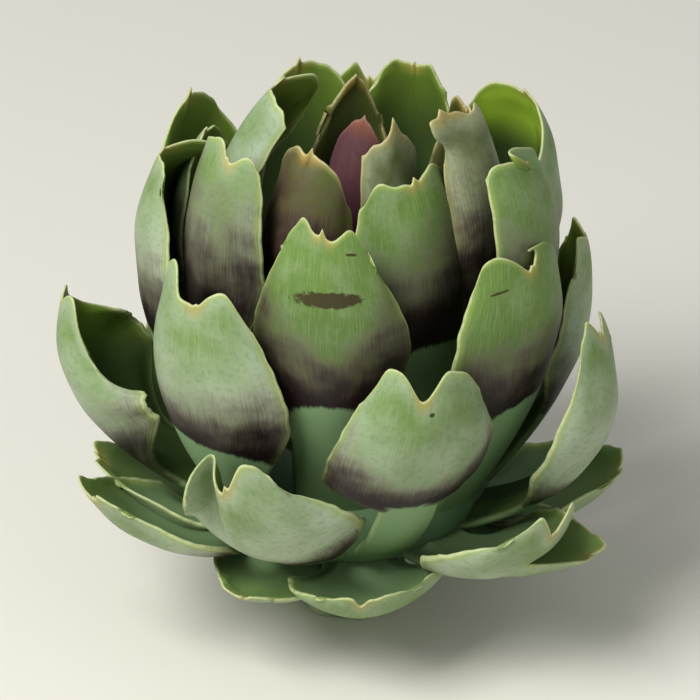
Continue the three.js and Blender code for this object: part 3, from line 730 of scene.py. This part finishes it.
def bract_skin(name, colours, scars):
    """Leathery plant skin under a thin wax bloom: fine lengthwise fibres, a purple flush at the foot
    of the blade that ends sharply at the neck and carries painted shade, painted shade lower down the
    blade, painted sheen at its sides, a smooth darker inner face with painted light at its top, and a hard
    pale rim."""
    material = bpy.data.materials.new(name)
    material.use_nodes = True
    tree = material.node_tree
    reads = {}
    for mark in ("inner", "edge_mm", "tip_mm", "foot_mm", "flush", "spine_mm", "bloom", "pale", "glow"):
        reads[mark] = add_node(tree, "ShaderNodeAttribute", attribute_name=mark).outputs["Fac"]
    leaf = add_node(tree, "ShaderNodeUVMap", uv_map="leaf").outputs["UV"]     # in centimetres
    along_fibres = add_node(tree, "ShaderNodeMapping", {
        "Vector": leaf, "Scale": (MM_PER_CM / FIBRE_WIDTH, MM_PER_CM / FIBRE_LENGTH, 1)}).outputs[0]
    patterns = {
        "fibres": (along_fibres, 1, 3),
        "clouds": (leaf, MM_PER_CM / CLOUD_SIZE, 2),
        "mottle": (leaf, MM_PER_CM / MOTTLE_SIZE, 3),
    }
    for pattern, (place, scale, detail) in patterns.items():
        reads[pattern] = add_node(tree, "ShaderNodeTexNoise", {
            "Vector": place, "Scale": scale, "Detail": detail}).outputs["Fac"]

    # The fibres and the clouds make the upper edge of the flush uneven, and its foot too.
    clouded = add_node(tree, "ShaderNodeMath", {
        0: reads["clouds"], 1: CLOUD_SHIFT, 2: -CLOUD_DROP}, operation="MULTIPLY_ADD")
    uneven = add_node(tree, "ShaderNodeMath", {
        0: reads["fibres"], 1: FIBRE_SHIFT, 2: clouded.outputs[0]}, operation="MULTIPLY_ADD").outputs[0]
    reads["flush"] = add_node(tree, "ShaderNodeMath", {0: reads["flush"], 1: uneven}).outputs[0]
    reads["foot_mm"] = add_node(tree, "ShaderNodeMath", {
        0: uneven, 1: -FOOT_SHIFT, 2: reads["foot_mm"]}, operation="MULTIPLY_ADD").outputs[0]

    # Scars: each is a ragged patch round its own place on the skin, of its own half width and height.
    for scar, (across, up, half_width_cm, half_height_cm) in enumerate(scars):
        place = add_node(tree, "ShaderNodeMapping", {
            "Vector": leaf, "Location": (-across / half_width_cm, -up / half_height_cm, 0),
            "Scale": (1 / half_width_cm, 1 / half_height_cm, 0)}).outputs[0]
        away = add_node(tree, "ShaderNodeVectorMath", {0: place}, operation="LENGTH").outputs["Value"]
        reads[f"scar_{scar}"] = add_node(tree, "ShaderNodeMath", {
            0: reads["mottle"], 1: -SCAR_RAGGEDNESS, 2: away}, operation="MULTIPLY_ADD").outputs[0]

    # Soft-ended ranges: what each reads, where it starts and ends, and its value at the two ends.
    ranges = {
        # The first range is painted shade: the blade turns a darker green further below its top, where the
        # bracts in front shade it.
        "painted_shade_below_tip": ("tip_mm", 6, 30, 0, 0.6),
        "wax_below": ("tip_mm", 3, 30, 0.2, 0.9),
        # The wax also grows paler towards the sides: partly wax that lies thicker there, and partly
        # painted sheen of the light grazing the sides.
        "wax_and_sheen_aside": ("edge_mm", 0.5, 8, 0.6, 0),
        "wax_clouds": ("clouds", 0.3, 0.7, -0.14, 0.14),
        "veins": ("mottle", 0.45, 0.75, 0, 0.3),
        "fibre_lines": ("fibres", 0.45, 0.7, 0, 0.22),
        # The mauve and the purple darken the foot of the blade to near black: partly its own purple,
        # partly painted shade from the bracts in front.
        "mauve": ("flush", 0.15, 0.75, 0, 0.85),
        "purple": ("flush", 0.42, 0.92, 0, 1),
        "neck": ("foot_mm", -0.8, 0.5, 1, 0),
        "painted_glow_height": ("tip_mm", 0, 28, 1, 0),
        "above_flush": ("flush", 0.3, 0.9, 1, 0.15),
        "margin_width": ("edge_mm", 0.2, 2.2, 0.6, 0),
        "line_width": ("edge_mm", 0.1, 0.5, 0.7, 0),
        "line_gaps": ("mottle", 0.3, 0.6, 0.5, 1),
        "dried": ("spine_mm", 0.8, 4.5, 0.55, 0),
    }
    for scar in range(len(scars)):
        ranges[f"scar_{scar}"] = (f"scar_{scar}", 0.34, 0.58, 0.92, 0)
    shares = {}
    for share, (read, start, end, low, high) in ranges.items():
        shares[share] = add_node(tree, "ShaderNodeMapRange", {
            "Value": reads[read], "From Min": start, "From Max": end, "To Min": low, "To Max": high},
            interpolation_type="SMOOTHSTEP").outputs[0]
    wax = add_node(tree, "ShaderNodeMath", {0: shares["wax_below"], 1: shares["wax_and_sheen_aside"]})
    shares["wax"] = add_node(tree, "ShaderNodeMath", {
        0: wax.outputs[0], 1: reads["bloom"], 2: shares["wax_clouds"]},
        operation="MULTIPLY_ADD", use_clamp=True).outputs[0]
    shares["margin"] = add_node(tree, "ShaderNodeMath", {
        0: shares["margin_width"], 1: shares["above_flush"]}, operation="MULTIPLY").outputs[0]
    line = add_node(tree, "ShaderNodeMath", {
        0: shares["line_width"], 1: shares["above_flush"]}, operation="MULTIPLY")
    shares["rim"] = add_node(tree, "ShaderNodeMath", {
        0: line.outputs[0], 1: shares["line_gaps"]}, operation="MULTIPLY").outputs[0]

    # The inner face is smooth and dark; it is paler on old bracts, partly their own paler tissue and
    # partly painted bounce light, and yellower towards the top, where painted light stands for the light
    # that comes through the thin blade.
    light = add_node(tree, "ShaderNodeMath", {
        0: shares["painted_glow_height"], 1: reads["glow"]}, operation="MULTIPLY", use_clamp=True).outputs[0]
    inside = linear(colours["inside"])
    for share, colour in ((reads["pale"], "inside_pale_bounce_lit"), (light, "inside_painted_glow")):
        inside = add_node(tree, "ShaderNodeMix", {
            0: share, MIX_BELOW: inside, MIX_ABOVE: linear(colours[colour])},
            data_type="RGBA").outputs[MIX_OUT]
    # The outer face is painted in layers, from fresh green up, with painted shade laid on further below
    # its top; then comes the inner face, with painted light at its top; and on both the yellowish margin,
    # the dried patch at the foot of the spine, and the hard pale line of the rim.
    layers = [
        (shares["painted_shade_below_tip"], linear(colours["deep"])), (shares["wax"], linear(colours["bloom"])),
        (shares["veins"], linear(colours["vein"])), (shares["fibre_lines"], linear(colours["fibre"])),
        (shares["mauve"], linear(colours["mauve"])), (shares["purple"], linear(colours["purple"])),
        (shares["neck"], linear(colours["neck"])),
        *((shares[f"scar_{scar}"], linear(colours["scar"])) for scar in range(len(scars))),
        (reads["inner"], inside), (shares["margin"], linear(colours["margin"])),
        (shares["dried"], linear(colours["spine"])), (shares["rim"], linear(colours["rim"])),
    ]
    skin = linear(colours["fresh"])
    for share, colour in layers:
        skin = add_node(tree, "ShaderNodeMix", {
            0: share, MIX_BELOW: skin, MIX_ABOVE: colour}, data_type="RGBA").outputs[MIX_OUT]

    bump = add_node(tree, "ShaderNodeBump", {
        "Height": reads["fibres"], "Strength": 0.3, "Distance": 0.2 * MM})
    shader = tree.nodes["Principled BSDF"]
    tree.links.new(skin, shader.inputs["Base Color"])
    tree.links.new(bump.outputs[0], shader.inputs["Normal"])
    shader.inputs["Roughness"].default_value = 0.5
    shader.inputs["Specular IOR Level"].default_value = 0.35
    return material


# Scars left by rubbing and by insects: place on the map of the bracts, half width and half height.
# All are in centimetres, and the middle of a bract's own stretch of the map is at ten times its number.
GREEN_SCARS = [
    (260.0, 6.54, 0.98, 0.27), (260.8, 7.85, 0.2, 0.05), (180.23, 6.35, 0.08, 0.07),
    (228.58, 7.14, 0.3, 0.05),
]
YOUNG_SCARS = [(339.95, 7.92, 0.12, 0.16), (361.5, 7.86, 0.1, 0.1)]

# In each bract palette, deep is a painted shade green, laid on the blade further below its top where the
# bracts in front shade it.
green_skin = bract_skin("waxy_green_bract_skin", {
    "fresh": "#65833A", "deep": "#4F6B33", "bloom": "#A6B598", "vein": "#486630", "fibre": "#A3B184",
    "mauve": "#5D4F43", "purple": "#1B0E0E", "neck": "#789769", "scar": "#35290F", "inside": "#3B4F25",
    "inside_pale_bounce_lit": "#69825A", "inside_painted_glow": "#9CBE38", "margin": "#93A850", "spine": "#A8934A",
    "rim": "#C6CC9A"}, GREEN_SCARS)

# The young bracts next to the heart are duller and browner.
young_skin = bract_skin("blushed_young_bract_skin", {
    "fresh": "#506025", "deep": "#464627", "bloom": "#B4BE98", "vein": "#565429", "fibre": "#857F5C",
    "mauve": "#5C473A", "purple": "#1E1012", "neck": "#6C7A58", "scar": "#5A4A1E", "inside": "#33391E",
    "inside_pale_bounce_lit": "#5E6A40", "inside_painted_glow": "#6B7A2C", "margin": "#A39E58", "spine": "#A8883A",
    "rim": "#C6BF90"}, YOUNG_SCARS)

FIRST_YOUNG = 33
for number in range(GREEN_BRACTS):
    mesh = bract_mesh(f"bract_{number:02d}", bract_form(number), bract_look(number), GREEN_GRID)
    skin = young_skin if number >= FIRST_YOUNG else green_skin
    finish_piece(f"bract_{number:02d}", mesh, [skin], "green_bracts")

# ---------------------------------------------------------------------------------------------
# The heart. The bud at the middle of the head: young purple bracts, thin and soft, wrapped close
# round one another on a small core that they hide.

HEART_CORE = [(0, 0), (9, 0), (11, 4), (11, 12), (9.5, 22), (7, 34), (4, 44), (2, 48), (0, 48.5)]
HEART_CLEARANCE = 0.3
HEART_CORE_SIDES = 64
HEART_GRID = (30, 46)
GREENEST_OF_THE_HEART = 39

heart_skin = bract_skin("soft_purple_bract_skin", {
    "fresh": "#5E3A3E", "deep": "#3E2226", "bloom": "#624A4C", "vein": "#422A30", "fibre": "#74585A",
    "mauve": "#481F32", "purple": "#241018", "neck": "#3A222C", "inside": "#241318",
    "inside_pale_bounce_lit": "#3A2228", "inside_painted_glow": "#4A3030", "margin": "#7A4450", "spine": "#8A5528",
    "rim": "#8A6A58"}, scars=[])

core_mesh = turned_core("heart_core", HEART_CORE, HEART_FOOT + HEART_CLEARANCE, HEART_CORE_SIDES)
finish_piece("heart_core", core_mesh, [receptacle_mesh.materials[0]], "heart_bracts")
for number in range(GREEN_BRACTS, ALL_BRACTS):
    mesh = bract_mesh(f"heart_bract_{number:02d}", bract_form(number), bract_look(number), HEART_GRID)
    skin = young_skin if number == GREENEST_OF_THE_HEART else heart_skin
    finish_piece(f"heart_bract_{number:02d}", mesh, [skin], "heart_bracts")

# ---------------------------------------------------------------------------------------------
# The studio: a plain pale floor that the cut stem stands on, with soft light from above.

FLOOR_SIZE = 3
FLOOR_DROP = 0.05 * MM        # so that the cut face and the floor don't fall in one plane
LIT_PLACE = Vector((0, 0, 0.07))

floor_mesh = bpy.data.meshes.new("studio_floor")
bm = bmesh.new()
bmesh.ops.create_grid(bm, x_segments=1, y_segments=1, size=FLOOR_SIZE)
bmesh.ops.translate(bm, verts=bm.verts[:], vec=(0, 0, -FLOOR_DROP))
bm.to_mesh(floor_mesh)
bm.free()
floor_paint = bpy.data.materials.new("matt_pale_board")
floor_paint.use_nodes = True
floor_paint.node_tree.nodes["Principled BSDF"].inputs["Base Color"].default_value = linear("#DDDACF")
floor_paint.node_tree.nodes["Principled BSDF"].inputs["Roughness"].default_value = 0.9
floor_mesh.materials.append(floor_paint)
floor = bpy.data.objects.new("studio_floor", floor_mesh)
bpy.context.scene.collection.objects.link(floor)


def soft_box(name, azimuth, elevation, distance, size, power):
    """A square soft light that faces the head. Azimuth 0 is the front, and runs to the right."""
    lamp = bpy.data.lights.new(name, "AREA")
    lamp.size = size
    lamp.energy = power
    light = bpy.data.objects.new(name, lamp)
    bpy.context.scene.collection.objects.link(light)
    flat = distance * cos(radians(elevation))
    light.location = (
        flat * sin(radians(azimuth)), -flat * cos(radians(azimuth)), distance * sin(radians(elevation)))
    aim = LIT_PLACE - light.location
    light.rotation_euler = aim.to_track_quat("-Z", "Y").to_euler()


soft_box("key_light", -48, 52, 1.2, 0.6, 15)
soft_box("fill_light", 50, 40, 1.4, 0.9, 1.5)
world = bpy.data.worlds.new("studio_air")
world.use_nodes = True
world.node_tree.nodes["Background"].inputs["Color"].default_value = linear("#F2F4F5")
world.node_tree.nodes["Background"].inputs["Strength"].default_value = 0.4
bpy.context.scene.world = world
bpy.context.scene.view_settings.view_transform = "Standard"

# ---------------------------------------------------------------------------------------------
# The camera looks down on the head from 30 degrees, from far off through a long lens.

VIEW_ELEVATION = 30
VIEW_DISTANCE = 1.4
VIEW_WIDTH = 0.152
VIEW_TARGET = Vector((0, 0, 0.062))
SENSOR_WIDTH = 36

eye = bpy.data.cameras.new("studio_camera")
eye.sensor_width = SENSOR_WIDTH
eye.lens = SENSOR_WIDTH * VIEW_DISTANCE / VIEW_WIDTH
camera = bpy.data.objects.new("studio_camera", eye)
bpy.context.scene.collection.objects.link(camera)
view_angle = radians(VIEW_ELEVATION)
camera.location = VIEW_TARGET + VIEW_DISTANCE * Vector((0, -cos(view_angle), sin(view_angle)))
camera.rotation_euler = (pi / 2 - view_angle, 0, 0)
bpy.context.scene.camera = camera
